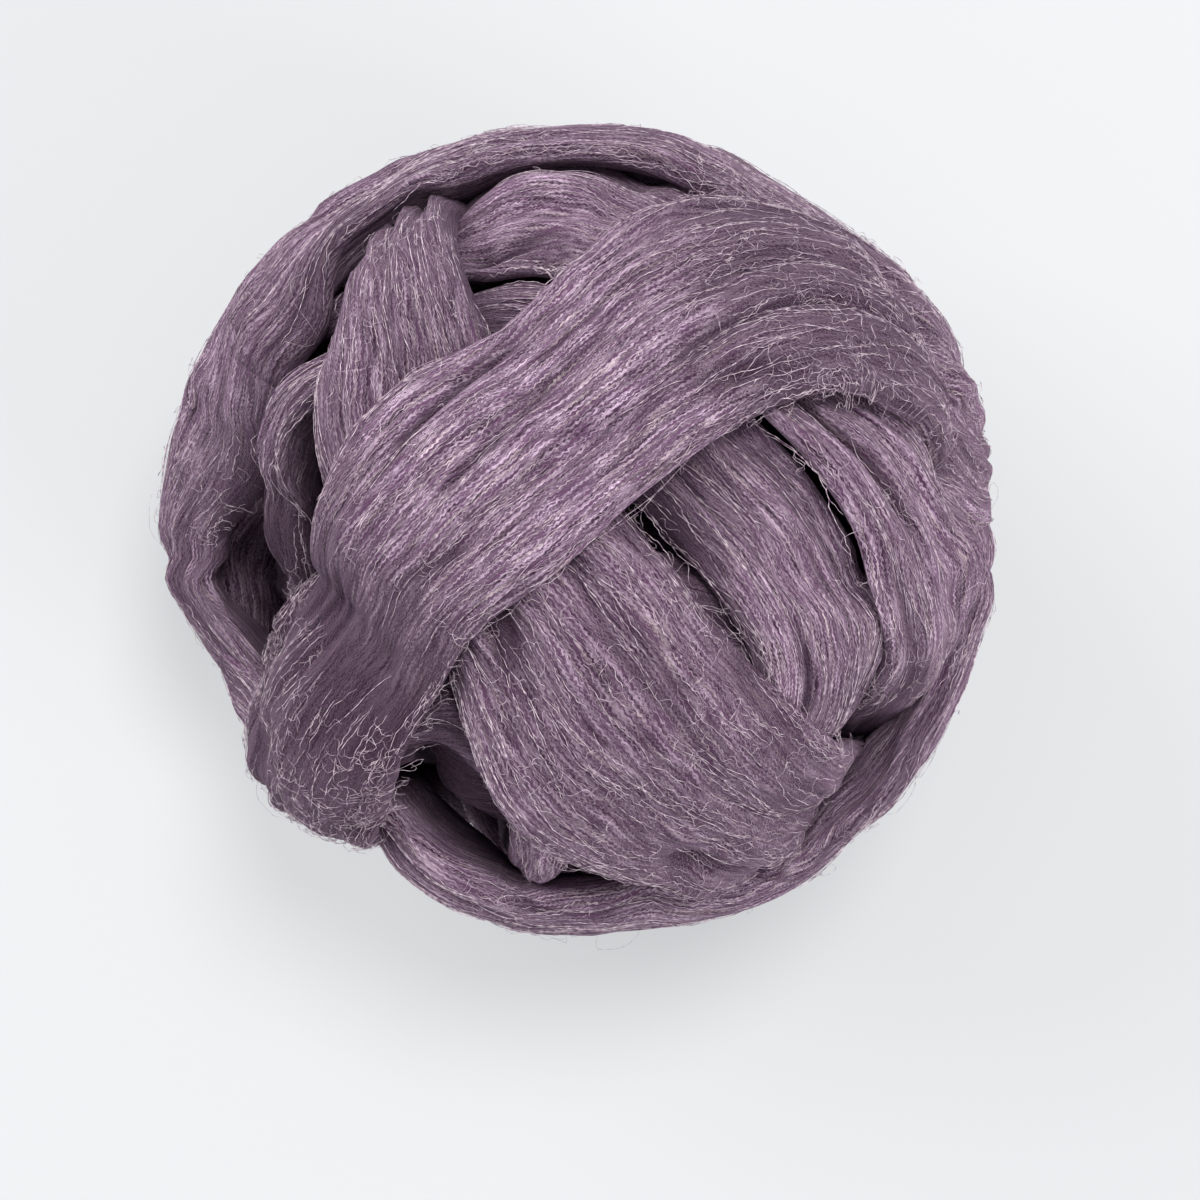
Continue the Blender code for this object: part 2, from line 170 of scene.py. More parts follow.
# The lamps: where each is and how wide, in metres, and its power in watts.
Lamp = namedtuple("Lamp", "name place size power")
LAMPS = (
    Lamp("window", (0.45, 0.85, 2.45), 0.9, 41),
    Lamp("fill", (-2.2, 1.5, 1.7), 2.4, 63),
    Lamp("front", (2.5, -1.8, 1.6), 2.2, 62),
)
LAMPS_AIM = (0, 0, 0.06)
# The colour that painted shade darkens the wool towards: in creases, darker zones, deep gaps and between
# fibres.
WOOL_SHADED = (0.026, 0.008, 0.022, 1.0)
WOOL_DARK = (0.052, 0.018, 0.047, 1.0)
WOOL_MIDDLE = (0.170, 0.082, 0.160, 1.0)
WOOL_PALE = (0.740, 0.540, 0.700, 1.0)
WOOL_CREAM = (0.800, 0.640, 0.660, 1.0)
FIBRE_PALE = (0.850, 0.700, 0.760, 1.0)
SHEEN_TINT = (0.84, 0.56, 0.78, 1.0)
CRIMP_LENGTH = 0.0013  # from one wave of a fibre's crimp to the next, in metres
CRIMP_DRIFT = 22  # radians by which the waves of fibres side by side can be out of step
CRIMP_STAYS = 0.0050  # over what length they fall out of step, in metres
SWAY = 0.0022  # how far a fibre wanders sideways over a few centimetres, in metres
# Noise over the strand: how long and how wide its bumps are in metres, where it starts, how many
# finer layers it has and how strong they are.
Field = namedtuple("Field", "long wide start layers strength", defaults=(0.0, 1, 0.5))
SWAY_FIELD = Field(0.016, 0.006)
LOCK_FIELD = Field(0.045, 0.0015, 0.0, 2)
BROAD_FIELD = Field(0.090, 0.0070, 3.0)
TINT_FIELD = Field(0.020, 0.0007, 5.0)
FINE_LAYERS, FINE_STRENGTH = 2, 0.6  # of the noise for single fibres
LOCK_LIGHT, BROAD_LIGHT = 2.4, 0.8  # how much they lighten the wool
LIGHT_FROM = 1.1  # the sum of both from which the wool is lighter
# how much shade is painted into the gaps between fibres
BETWEEN_SHARE = 0.95  # how dark the gaps between fibres are
TINT_FROM, TINT_CONTRAST = 0.50, 5.0  # where pale fibres turn to cream, and how sharply
PALE_LEAST, PALE_MORE = 0.50, 0.5  # how far pale fibres show, and more on light wool
BUMP_DEPTH = 0.00040  # how high a single fibre stands out, in metres
LOCK_BUMP = 1.8  # how high a lock is, against a single fibre
TONE_SIZE = 0.0011  # how long a lighter or darker part of a loose fibre is
TONE_FROM, TONE_CONTRAST = 0.30, 2.4
# The fibres that show on the strand's surface: how long they stay in one line, how far apart they
# are, over what width they wave together, how far they swing to each side, from what value of the
# noise they show, with what contrast, and how pale they are.
HairLine = namedtuple("HairLine", "long apart together swing least contrast pale start")
HAIR_LINES = (
    HairLine(0.0090, 0.00034, 0.0010, 0.00009, 0.49, 7.5, 1.00, 0.0),
    HairLine(0.0060, 0.00025, 0.0008, 0.00009, 0.49, 7.5, 0.85, 7.0),
)
# Shade painted on the wool, which also marks where it is matted: the distance along the strand in
# metres, and how much darker.
SHADE_DEPTH = 0.90  # where it is this much darker, loose fibres are densest
SHADE = (
    (2.94, 0.0), (3.00, 0.18), (3.06, 0.30), (3.32, 0.40), (3.37, 0.35),
    (3.40, 0.25), (3.43, 0.40), (3.46, 0.45), (3.50, 0.55), (3.56, 0.20),
    (4.38, 0.10), (4.41, 0.60), (4.43, 0.85), (4.45, 0.80), (4.47, 0.20),
    (4.48, 0.0), (4.52, 0.05), (4.54, 0.60), (4.56, 1.00), (4.58, 0.85),
    (4.66, 0.80),
)
# The narrow gaps between fibres, where shade is painted: how long, how far apart, below what value
# of the noise they show, and with what contrast.
DarkLine = namedtuple("DarkLine", "long apart most contrast start")
DARK_LINES = DarkLine(0.0110, 0.00055, 0.48, 9.0, 13.0)
# Shade painted on the wool deep in the gaps: the depths under the ball's round shape, as a share of
# its radius, where the painted shade starts and where it is darkest.
GAP_STARTS = 0.10
GAP_DEEP = 0.20
GAP_PAINTED_SHADE = 0.94  # how dark it is there, and on the first windings
FLOOR_REACH = 3.0
FLOOR_COLOUR = (0.33, 0.335, 0.338, 1.0)
FLOOR_GLOW = (0.38, 0.385, 0.39, 1.0)

# Where the strand passes: bearing round the ball and height above its middle, in degrees, and the
# strand's half width and slack there, in millimetres. Bearing 0 is +X, 90 is +Y. Slack is how far
# it lies off the turns below, or, where less than 0, is pulled into them. ropes is how many soft
# ropes the strand splits into, and thickness is through its middle, in millimetres.
Pass = namedtuple("Pass", "bearing height half_width slack", defaults=(0,))
Turn = namedtuple("Turn", "name ropes thickness passes")
WINDING = (
    Turn("first_under", 3, 11, (
        Pass(262, -60, 17), Pass(268, -30, 18), Pass(272, 4, 18), Pass(276, 36, 18), Pass(280, 66, 18),
        Pass(108, 72, 18), Pass(96, 42, 18), Pass(98, 6, 18), Pass(100, -30, 18), Pass(107, -62, 18),
        Pass(160, -72, 18),
    )),
    Turn("low_girdle", 3, 11, (
        Pass(214, -56, 20), Pass(238, -36, 20), Pass(268, -28, 20), Pass(305, -20, 20, 2),
        Pass(332, -8, 20, 4), Pass(20, -20, 20), Pass(56, -14, 20), Pass(90, -18, 20), Pass(125, -14, 20),
        Pass(158, -20, 20), Pass(190, -34, 20), Pass(214, -58, 18), Pass(240, -70, 18),
    )),
    Turn("second_under", 3, 11, (
        Pass(236, -84, 18), Pass(228, -62, 18), Pass(226, -30, 18), Pass(222, 4, 18), Pass(217, 38, 18),
        Pass(196, 68, 18), Pass(84, 74, 18), Pass(62, 42, 18), Pass(58, 6, 18), Pass(61, -30, 18),
        Pass(70, -60, 18), Pass(134, -76, 18),
    )),
    Turn("third_under", 2, 11, (
        Pass(197, -62, 18), Pass(211, -30, 18), Pass(212, 4, 17), Pass(217, 34, 14), Pass(234, 50, 10),
        Pass(260, 52, 11), Pass(300, 50, 17), Pass(334, 36, 18), Pass(353, 6, 18), Pass(0, -30, 18),
        Pass(10, -60, 18), Pass(75, -76, 18),
    )),
    Turn("fourth_under", 2, 11, (
        Pass(138, -62, 18), Pass(146, -30, 18), Pass(148, 4, 18), Pass(152, 38, 18), Pass(176, 62, 18),
        Pass(235, 74, 18), Pass(310, 62, 18), Pass(328, 36, 18), Pass(332, 4, 18), Pass(333, -30, 18),
        Pass(327, -62, 18), Pass(240, -82, 18),
    )),
    Turn("small_loop", 3, 11, (
        Pass(198, -62, 18), Pass(200, -30, 18), Pass(200, 0, 16), Pass(192, 22, 11), Pass(177, 35, 7),
        Pass(158, 42, 7), Pass(138, 49, 8), Pass(112, 57, 14), Pass(72, 65, 17), Pass(28, 67, 16),
        Pass(352, 59, 14), Pass(335, 49, 13), Pass(318, 40, 13), Pass(299, 18, 15), Pass(288, -12, 17),
        Pass(277, -44, 18), Pass(246, -67, 18),
    )),
    Turn("wide_loop", 3, 11, (
        Pass(190, -66, 18), Pass(160, -46, 18), Pass(146, -18, 17, -3), Pass(136, 8, 16, -4),
        Pass(126, 27, 17), Pass(108, 30, 21), Pass(85, 32, 22), Pass(52, 41, 21, -1),
        Pass(20, 41, 22, 2), Pass(357, 33, 22, 3), Pass(343, 18, 20, 1), Pass(333, -6, 18),
        Pass(324, -40, 18), Pass(305, -70, 18),
    )),
    Turn("front_lobe", 3, 12, (
        Pass(150, -74, 18), Pass(134, -44, 18), Pass(122, -12, 15, -3), Pass(117, 14, 11, -4),
        Pass(120, 37, 8), Pass(131, 54, 13), Pass(152, 67, 20), Pass(186, 74, 24), Pass(236, 77, 24),
        Pass(283, 59, 24), Pass(296, 42, 22), Pass(303, 25, 20), Pass(309, 4, 18), Pass(308, -30, 18),
        Pass(284, -56, 18),
    )),
    Turn("girdle_start", 3, 9, (
        Pass(248, -50, 18), Pass(224, -26, 15), Pass(207, -12, 12, 3), Pass(191, -8, 10, 8),
        Pass(177, -4, 10, 8), Pass(165, 6, 14, 2), Pass(155, 12, 17, -1),
    )),
    Turn("girdle", 3, 11, (
        Pass(145, 17, 18), Pass(128, 19, 18), Pass(107, 16, 17), Pass(78, 13, 17), Pass(50, 6, 17),
        Pass(22, -3, 18), Pass(358, -5, 18), Pass(342, 1, 18), Pass(328, 5, 17), Pass(316, 1, 17),
        Pass(300, -2, 17), Pass(284, 2, 17), Pass(264, 6, 17), Pass(243, 9, 17), Pass(222, -4, 17),
        Pass(196, -26, 18),
    )),
    Turn("crossing", 4, 12, (
        Pass(152, -46, 18), Pass(95, -54, 18), Pass(42, -42, 18), Pass(15, -12, 19, -1),
        Pass(26, 17, 21, -3), Pass(45, 37, 23, -1), Pass(60, 56, 21), Pass(90, 75, 19), Pass(155, 77, 20),
        Pass(194, 65, 18), Pass(209, 52, 18, 1), Pass(214, 37, 21, 1), Pass(220, 17, 21, -1),
        Pass(227, -6, 18, -3), Pass(237, -36, 17, -2), Pass(260, -62, 12), Pass(320, -76, 5),
    )),
)


def direction(bearing, height):
    """The unit vector at a bearing and height in degrees."""
    b, h = math.radians(bearing), math.radians(height)
    return np.array((math.cos(b) * math.cos(h), math.sin(b) * math.cos(h), math.sin(h)))


def unit(v):
    """Each vector at length 1."""
    return v / np.linalg.norm(v, axis=-1, keepdims=True)


def smooth_curve(points, samples):
    """Points on the curve that runs smoothly through the given rows, with samples to each gap."""
    ends = np.vstack((2 * points[0] - points[1], points, 2 * points[-1] - points[-2]))
    t = np.linspace(0, 1, samples, endpoint=False)[:, None]
    runs = []
    for a, b, c, d in zip(ends, ends[1:], ends[2:], ends[3:]):
        runs.append(0.5 * (2 * b + (c - a) * t + (2 * a - 5 * b + 4 * c - d) * t**2
                           + (3 * b - 3 * c + d - a) * t**3))
    return np.vstack((*runs, points[-1:]))


def blurred(values, reach):
    """values evened out along their first axis by a bell curve of that many rows."""
    span = int(3 * reach) + 1
    bell = np.exp(-0.5 * (np.arange(-span, span + 1) / reach) ** 2)
    padded = np.pad(values, [(span, span)] + [(0, 0)] * (values.ndim - 1), mode="edge")
    return sum(w * padded[i : i + len(values)] for i, w in enumerate(bell)) / bell.sum()


class Strand:
    """The strand's stations: where each lies, which way is across it, and how wide it is."""

    def __init__(self, step):
        rows, sizes = [], []
        for turn in WINDING:
            for p in turn.passes:
                rows.append(direction(p.bearing, p.height))
                sizes.append((p.half_width / 1000, p.slack / 1000, turn.thickness / 1000, turn.ropes))
        line = smooth_curve(np.column_stack((rows, sizes)), 40)
        line[:, :3] = unit(line[:, :3])
        gone = np.linalg.norm(np.diff(line[:, :3], axis=0), axis=1) * LAID_AT * CORE_RADIUS
        gone = np.concatenate(([0], np.cumsum(gone)))
        count = int(gone[-1] / step)
        self.along = np.linspace(0, gone[-1], count)
        line = np.column_stack([np.interp(self.along, gone, column) for column in line.T])
        self.centre = unit(blurred(line[:, :3], 1.0))
        self.half_width, self.slack, self.thickness, self.ropes = line[:, 3:].T
        ahead = unit(np.gradient(self.centre, axis=0))
        self.side = unit(np.cross(self.centre, ahead))
        self.count = count


def edge_profile(u):
    """The strand's height across it, from its rounded edges (u = -1 and 1) to 1 in the middle."""
    rounded = np.clip(1 - np.abs(u) ** FLAT_POWER, 0, 1) ** EDGE_POWER
    return EDGE_HEIGHT + (1 - EDGE_HEIGHT) * rounded


def across_points():
    """Where the points over the strand's top lie, closer together towards its edges."""
    return np.sin(np.linspace(-math.pi / 2, math.pi / 2, ACROSS))


def rope_relief(strand, u):
    """The soft ropes that the strand splits into, which wander across it along its length."""
    s = strand.along[:, None]
    wander = sum(w.far * np.sin(s / w.long + w.start) for w in ROPE_WANDER)
    return ROPE_HEIGHT * np.cos(math.pi * strand.ropes[:, None] * u + wander) * (1 - u**4)


def top_directions(strand, u, reach):
    """The direction of each point of the strand's top, station by station."""
    turn = (strand.half_width[:, None] * u / reach)[..., None]
    return strand.centre[:, None] * np.cos(turn) + strand.side[:, None] * np.sin(turn)


def height_over(strand, top, u, points, order, reach):
    """The radius of the turns under each point, from the pieces of strand laid well before it."""
    under = np.full(len(points), CORE_RADIUS)
    for n, start in enumerate(range(0, strand.count, STATIONS_A_PIECE)):
        piece = slice(start, min(start + STATIONS_A_PIECE + 1, strand.count))
        later = np.flatnonzero(order >= n + 2)
        if not len(later):
            break
        dots = points[later] @ strand.centre[piece].T
        near = dots.argmax(axis=1)
        close = dots[np.arange(len(later)), near] > math.cos(NEAR_BY)
        later, near = later[close], near[close] + piece.start
        offset = np.arcsin(np.einsum("ij,ij->i", points[later], strand.side[near])) * reach
        share = offset / strand.half_width[near]
        inside = np.abs(share) < 1
        later, near, share = later[inside], near[inside], share[inside]
        column = np.interp(share, u, np.arange(len(u)))
        low = np.minimum(column.astype(int), len(u) - 2)
        part = column - low
        found = top[near, low] * (1 - part) + top[near, low + 1] * part
        under[later] = np.maximum(under[later], found)
    return under


def lay_strand(strand):
    """The direction and radius of each point of the strand's top, and the radius under it. Each turn
    lies on the ones before it; this is repeated until the stack holds still."""
    u = across_points()
    reach = LAID_AT * CORE_RADIUS
    points = top_directions(strand, u, reach)
    order = np.repeat(np.arange(strand.count) // STATIONS_A_PIECE, len(u))
    thickness = strand.thickness[:, None] * edge_profile(u) + rope_relief(strand, u)
    support = np.full((strand.count, len(u)), CORE_RADIUS)
    for _ in range(STACK_ROUNDS):
        support += strand.slack[:, None]
        top = support + thickness
        under = height_over(strand, top, u, points.reshape(-1, 3), order, reach)
        under = under.reshape(support.shape)
        bridged = blurred(under, BRIDGE_REACH * TENSION_LENGTH / STATION_STEP)
        bridged = np.maximum(under, bridged)
        pulled = blurred(bridged, PRESS_REACH * TENSION_LENGTH / STATION_STEP)
        support = (1 - PULLED_SHARE) * under + PULLED_SHARE * pulled
        level = blurred(support.T, LEVEL_REACH * ACROSS).T
        support = (1 - LEVEL_SHARE) * support + LEVEL_SHARE * level
    support += strand.slack[:, None]
    top = support + thickness
    spread = even_directions(SHAPE_DIRECTIONS)
    last = np.full(len(spread), strand.count)
    outer = height_over(strand, top, u, spread, last, reach)
    return points, top, support, Settling(spread, outer, points, top)


def even_directions(count):
    """Directions spread evenly all round, on a spiral from the top to the bottom."""
    n = np.arange(count)
    z = 1 - (2 * n + 1) / count
    turn = n * math.pi * (3 - math.sqrt(5))
    level = np.sqrt(1 - z * z)
    return np.column_stack((level * np.cos(turn), level * np.sin(turn), z))


def smooth_terms(directions):
    """Terms for a smooth shape round the ball: every product of up to ROUNDING_ORDER coordinates."""
    x, y, z = directions.reshape(-1, 3).T
    order = range(ROUNDING_ORDER + 1)
    powers = [(i, j, k) for i in order for j in order for k in order if i + j + k <= ROUNDING_ORDER]
    return np.column_stack([x**i * y**j * z**k for i, j, k in powers])


class Settling:
    """How the stack of turns becomes the ball: it is pressed round between the hands, sags a little
    under its own weight, and is let out or taken in to its outline as seen from above."""

    def __init__(self, spread, outer, points, top):
        terms = smooth_terms(spread)
        weight = np.ones(len(spread))
        for _ in range(SHAPE_ROUNDS):
            self.shape = np.linalg.lstsq(terms * weight[:, None], outer * weight, rcond=None)[0]
            hollow = np.maximum(terms @ self.shape - outer, 0)
            weight = np.exp(-((hollow / HOLLOW_DEPTH) ** 2))
        self.bearings = np.arange(0, 360, RIM_STEP)
        self.letting_out = np.ones(len(self.bearings))
        wanted = np.interp(self.bearings, *np.transpose(OUTLINE)) / 1000
        for _ in range(SHAPE_ROUNDS):
            seen = self.outline(self.place(points, top))
            self.letting_out *= wrapped_blur(wanted / seen, RIM_BLUR)

    def place(self, directions, radius):
        """Where the points of the stack at those directions and radii end up."""
        proud = radius / (smooth_terms(directions) @ self.shape).reshape(radius.shape) - 1
        proud = np.where(proud > 0, BUMP_LEFT * proud, proud)
        at = directions * (BALL_RADIUS * (1 + proud))[..., None] * (1, 1, SAG)
        bearing = np.degrees(np.arctan2(at[..., 1], at[..., 0]))
        change = np.interp(bearing, self.bearings, self.letting_out, period=360) - 1
        out = np.clip(np.hypot(at[..., 0], at[..., 1]) / BALL_RADIUS, 0, 1)
        at[..., :2] *= (1 + change * out**2)[..., None]
        return at

    def outline(self, at):
        """How far out the points reach at each bearing, as the eye sees them."""
        x, y, z = at.reshape(-1, 3).T
        nearer = EYE[2] / (EYE[2] - z)
        x = EYE[0] + (x - EYE[0]) * nearer
        y = EYE[1] + (y - EYE[1]) * nearer
        slot = np.round(np.degrees(np.arctan2(y, x)) / RIM_STEP).astype(int) % len(self.bearings)
        seen = np.zeros(len(self.bearings))
        np.maximum.at(seen, slot, np.hypot(x, y))
        return seen


def wrapped_blur(values, reach):
    """values round a circle, evened out."""
    return blurred(np.tile(values, 3), reach)[len(values) : 2 * len(values)]


def onto_floor(at):
    """The move that puts the flat spot on the floor and the middle of the outline over the origin."""
    corners = at.reshape(-1, 3)
    middle = (corners.min(axis=0) + corners.max(axis=0)) / 2
    return (-middle[0], -middle[1], FOOT_DEPTH)


def smooth_noise(x, y, seed):
    """Smooth random values from -1 to 1, with about one bump to each unit of x and y."""
    table = np.random.default_rng(seed).uniform(-1, 1, (NOISE_SIZE, NOISE_SIZE))
    i, j = np.floor(x).astype(int), np.floor(y).astype(int)
    p, q = x - i, y - j
    p, q = p * p * (3 - 2 * p), q * q * (3 - 2 * q)
    i2, j2 = (i + 1) % NOISE_SIZE, (j + 1) % NOISE_SIZE
    i, j = i % NOISE_SIZE, j % NOISE_SIZE
    low = table[i, j] * (1 - p) + table[i2, j] * p
    high = table[i, j2] * (1 - p) + table[i2, j2] * p
    return low * (1 - q) + high * q


def drifted(along, across, drift, seed):
    """How far a streak or crease lies to the side there."""
    return drift.far * smooth_noise(along / drift.long, across * 0 + seed, seed + drift.seed)


def streak_relief(along, across):
    """How far the streaks stand out at each place along and across the strand, and from 0 to 1 how
    much shade is painted there for how deep in one of its creases it lies."""
    relief = np.zeros(np.broadcast(along, across).shape)
    for streak in STREAKS:
        drift = drifted(along, across, STREAK_DRIFT, streak.seed)
        bumps = smooth_noise(along / streak.long, across / streak.wide + drift, streak.seed)
        relief += streak.high * (1 - STREAK_FALL * np.abs(bumps) ** STREAK_POWER)
    painted_shade = np.zeros(relief.shape)
    fading = CREASE_FADING
    for crease in CREASES:
        drift = drifted(along, across, CREASE_DRIFT, crease.seed)
        bumps = smooth_noise(along / crease.long, across / crease.apart + drift, crease.seed)
        depth = smooth_noise(along / fading.long, across / fading.wide, crease.seed + fading.seed)
        depth = fading.mean + fading.change * depth
        away = np.abs(bumps) * crease.apart * CREASE_SPREAD / crease.narrow
        cut = np.clip(depth, 0, 1) / (1 + away**2)
        relief -= crease.deep * cut
        # shade painted into the crease, darker the deeper it cuts
        painted_shade = np.maximum(painted_shade, cut * crease.dark)
    return relief, painted_shade


def painted_gap_shade(settling, directions, radius):
    """How much shade is painted on each place for how deep it lies under the ball's round shape,
    from 0 to 1.
    """
    depth = 1 - radius / (smooth_terms(directions) @ settling.shape).reshape(radius.shape)
    return GAP_PAINTED_SHADE * np.clip((depth - GAP_STARTS) / (GAP_DEEP - GAP_STARTS), 0, 1)


def refined(grid, by):
    """A grid with that many rows to each row, on smooth curves down its columns."""
    rows = smooth_curve(grid.reshape(len(grid), -1), by)
    return rows.reshape(-1, *grid.shape[1:])


def refined_both_ways(grid, across_by):
    """A grid refined along the strand and across it."""
    grid = refined(grid, ALONG_BY)
    return refined(grid.transpose(1, 0, 2), across_by).transpose(1, 0, 2)


def both_dark(one, other):
    """How much shade is painted on a place for two reasons together."""
    return 1 - (1 - one) * (1 - other)


class Surface:
    """The fine surface of one turn: the points over its top and under it, and how much shade is
    painted on each.
    """

    def __init__(self, winding, first, last, across_by):
        u = across_points()
        u = np.broadcast_to(u[None, :, None], (len(winding.points), len(u), 1))
        along = np.broadcast_to(winding.strand.along[:, None, None], u.shape)
        heights = winding.top[..., None], winding.support[..., None]
        grid = np.concatenate((winding.points, *heights, u, along), axis=2)
        grid = refined_both_ways(grid[first:last], across_by)
        directions = unit(grid[..., :3])
        top, support, self.u, self.along = (grid[..., n] for n in range(3, 7))
        relief, painted_shade = streak_relief(self.along, self.u * MEAN_HALF_WIDTH)
        relief *= 1 - (1 - STREAKS_AT_EDGE) * np.abs(self.u) ** FADE_POWER
        # painted shade in darker zones along the strand; the same zones mark where the wool is matted
        self.shade = np.interp(self.along, *np.transpose(SHADE))
        settling, move = winding.settling, winding.move
        self.top = settling.place(directions, top + relief) + move
        # shade painted into the creases, the darker zones along the strand and the deep gaps, all
        # together
        self.painted_shade = both_dark(painted_shade, self.shade)
        self.painted_shade = both_dark(self.painted_shade, painted_gap_shade(settling, directions, top))
        below, radius = underside(directions, top, support)
        self.under = settling.place(below, radius) + move
        self.under_painted_shade = painted_gap_shade(settling, below, radius)
        self.normal = surface_normals(self.top)
        self.sideways = unit(np.gradient(self.top, axis=1))


def underside(directions, top, support):
    """The direction and radius of the points round the strand's lower corners and under it."""
    middle = directions[:, [directions.shape[1] // 2]]
    corner = np.linspace(0, math.pi / 2, EDGE_POINTS + 1)[1:]
    share = 1 - (1 - NECK) * (1 - np.cos(corner))
    edges = []
    for side in (-1, 0):
        d = unit(middle + share[None, :, None] * (directions[:, [side]] - middle))
        rise = (top - support)[:, [side]] * (1 - np.sin(corner))
        edges.append((d, support[:, [side]] + rise))
    (d_last, r_last), (d_first, r_first) = edges
    t = np.linspace(0, 1, UNDER_POINTS + 2)[1:-1][None, :, None]
    d_under = unit(d_last[:, [-1]] * (1 - t) + d_first[:, [-1]] * t)
    across = support.shape[1]
    column = np.linspace(across * UNDER_FROM, across * UNDER_TO, UNDER_POINTS).astype(int)
    r_under = support[:, column] - UNDER_SUNK
    d = np.concatenate((d_last, d_under, d_first[:, ::-1]), axis=1)
    r = np.concatenate((r_last, r_under, r_first[:, ::-1]), axis=1)
    return d, r


def ring_quads(index):
    """The faces between one ring of points and the next, where the last axis goes round a ring."""
    after = np.roll(index, -1, axis=-1)
    corners = (index[..., :-1, :], after[..., :-1, :], after[..., 1:, :], index[..., 1:, :])
    return np.stack(corners, axis=-1).reshape(-1, 4).tolist()


def turn_mesh(name, surface):
    """The closed skin of one turn, with its length and width along UV in metres."""
    rings = np.concatenate((surface.top, surface.under), axis=1)
    rings[..., 2] = np.maximum(rings[..., 2], FLOOR_GAP)
    stations, count = rings.shape[:2]
    index = np.arange(stations * count).reshape(stations, count)
    mesh = bpy.data.meshes.new(name)
    ends = [list(index[0]), list(index[-1, ::-1])]
    mesh.from_pydata(rings.reshape(-1, 3).tolist(), [], ring_quads(index) + ends)
    step = np.linalg.norm(np.diff(rings, axis=1, append=rings[:, :1]), axis=2)
    v = np.concatenate((np.zeros((stations, 1)), np.cumsum(step, axis=1)), axis=1)
    v = v * (2 * MEAN_HALF_WIDTH / v[:, [surface.top.shape[1] - 1]])
    s = surface.along[:, :1] + 0 * v
    sv = np.stack((s, v), axis=-1)
    corners = np.stack((sv[:-1, :-1], sv[:-1, 1:], sv[1:, 1:], sv[1:, :-1]), axis=-2)
    flat = np.concatenate((corners.reshape(-1, 2), np.zeros((2 * count, 2))))
    uv = mesh.uv_layers.new(name="strand")
    uv.data.foreach_set("uv", flat.ravel())
    # the shade painted on each point, for the creases, the darker zones and the deep gaps
    painted_shade = np.concatenate((surface.painted_shade, surface.under_painted_shade), axis=1)
    mesh.attributes.new("painted_shade", "FLOAT", "POINT").data.foreach_set("value", painted_shade.ravel())
    mesh.shade_smooth()
    mesh.update()
    return mesh


def grid_at(grid, row, column):
    """The grid's value at fractional rows and columns."""
    i = np.clip(row.astype(int), 0, grid.shape[0] - 2)
    j = np.clip(column.astype(int), 0, grid.shape[1] - 2)
    p, q = (row - i)[..., None], (column - j)[..., None]
    low = grid[i, j] * (1 - p) + grid[i + 1, j] * p
    high = grid[i, j + 1] * (1 - p) + grid[i + 1, j + 1] * p
    return low * (1 - q) + high * q


def fibre_courses(rng, kind, count, long, half):
    """Where the loose fibres of one kind run on a strand of that length and half width: along it,
    across it and above it. Each sets out along the strand or askew to it, curls, waves to and fro,
    and rises a little off the surface."""
    length = kind.length * rng.uniform(*LENGTH_SPREAD, (count, 1))
    t = np.linspace(0, 1, kind.steps)[None]
    heading = rng.normal(0, kind.askew, (count, 1)) + rng.integers(0, 2, (count, 1)) * math.pi
    heading = heading + kind.curl * (t - 0.5) * rng.normal(0, 1, (count, 1))
    kink = np.sin(KINK_TURNS * t + rng.uniform(0, 6, (count, 1)))
    heading = heading + KINK_SHARE * kind.curl * kink
    part = length / (kind.steps - 1)
    s = rng.uniform(0, long, (count, 1)) + np.cumsum(np.cos(heading), axis=1) * part
    edge = rng.random(count) < kind.at_edge
    spot = rng.uniform(-1, 1, count)
    spot = np.where(edge, np.sign(spot) * (1 - EDGE_BAND * rng.random(count) ** 2), spot)
    x = half * spot[:, None] + np.cumsum(np.sin(heading), axis=1) * part
    wave = kind.wave * rng.uniform(*WAVE_SPREAD, (count, 1)) * np.sin(
        2 * math.pi * t * length / kind.wave_length + rng.uniform(0, 2 * math.pi, (count, 1)))
    x = x + wave * np.cos(heading)
    s = s - wave * np.sin(heading)
    lift = kind.lift * rng.uniform(*LIFT_SPREAD, (count, 1)) * np.sin(math.pi * t) ** LIFT_POWER
    return s, x, lift + np.maximum(np.abs(x) - half, 0) * EDGE_RISE


def fibre_paths(surface, shows, kind, seed):
    """The middle lines of the loose fibres of one kind on a turn, where the turn shows."""
    rng = np.random.default_rng(seed)
    rows, columns = surface.top.shape[:2]
    middle = surface.top[:, columns // 2]
    step = np.linalg.norm(np.diff(middle, axis=0), axis=1).mean()
    half = 0.5 * np.linalg.norm(np.diff(surface.top, axis=1), axis=2).sum(axis=1).mean()
    count = int(rows * step * 2 * half * kind.per_area)
    s, x, lift = fibre_courses(rng, kind, count, rows * step, half)
    row = s / step
    column = np.interp(np.clip(x / half, -1, 1), surface.u[0], np.arange(columns))
    inside = (row.min(axis=1) > 0) & (row.max(axis=1) < rows - 1.01)
    inside &= np.abs(x).max(axis=1) < FARTHEST_OUT * half
    row, column, lift, x = row[inside], column[inside], lift[inside], x[inside]
    at = grid_at(surface.top, row, column) + grid_at(surface.normal, row, column) * lift[..., None]
    out = np.abs(x) > half
    beyond = (np.abs(x) - half) * np.sign(x) * out
    at = at + grid_at(surface.sideways, row, column) * beyond[..., None]
    mid = kind.steps // 2
    at_middle = row[:, [mid]], column[:, [mid]]
    seen = grid_at(shows[..., None], *at_middle)[:, 0, 0] > 0.5
    # how much shade is painted there, which also marks how matted the wool is
    matted = grid_at(surface.shade[..., None], *at_middle)[:, 0, 0]
    chance = kind.everywhere + kind.in_shade * matted / SHADE_DEPTH
    chance = np.where(at[:, mid, 2] < LOW_DOWN, LOW_SHARE * chance, chance)
    seen &= rng.random(len(seen)) < chance
    at = at[seen]
    return at[at[..., 2].min(axis=1) > FLOOR_GAP + FIBRE_OVER_FLOOR]


